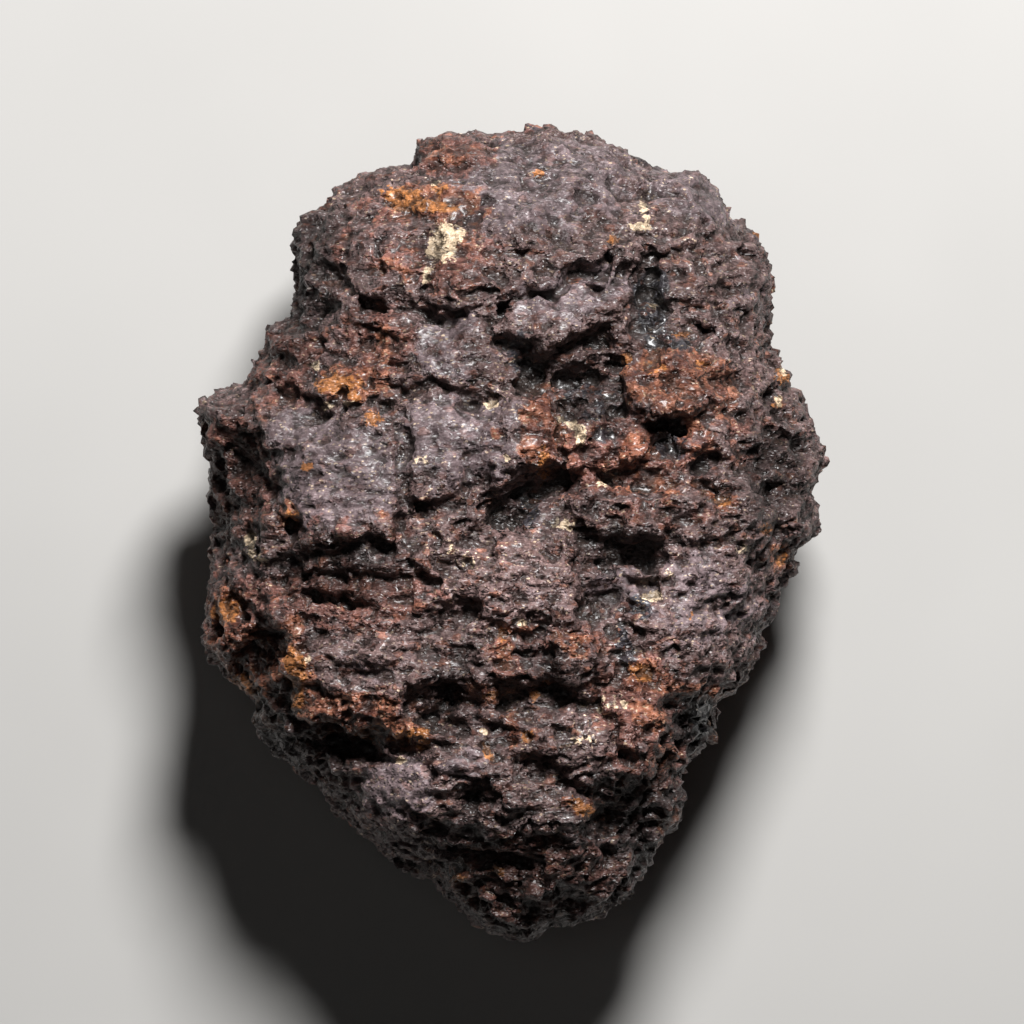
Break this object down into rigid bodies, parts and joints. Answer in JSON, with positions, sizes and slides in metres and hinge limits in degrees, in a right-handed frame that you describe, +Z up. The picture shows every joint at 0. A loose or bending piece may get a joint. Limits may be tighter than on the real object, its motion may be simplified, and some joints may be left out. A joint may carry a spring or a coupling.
{
  "type": "rough agate nodule",
  "caption": "Whole rough agate nodule with a craggy dark iron-stained rind, lying on its back with the broad rugged face up.",
  "frame": {"origin": "ground level under the middle of the stone's bounding box", "axes": "+Z up out of the broad rugged face, +Y along the stone towards its wide crown end, +X across it"},
  "size_m": [0.0834, 0.1072, 0.056],
  "materials": {
    "rind": "dark grey-brown craggy stone rind, faintly glossy, with rust, orange and cream patches"
  },
  "bodies": {
    "root": {"agate_nodule": "rind"}
  },
  "joints": []
}
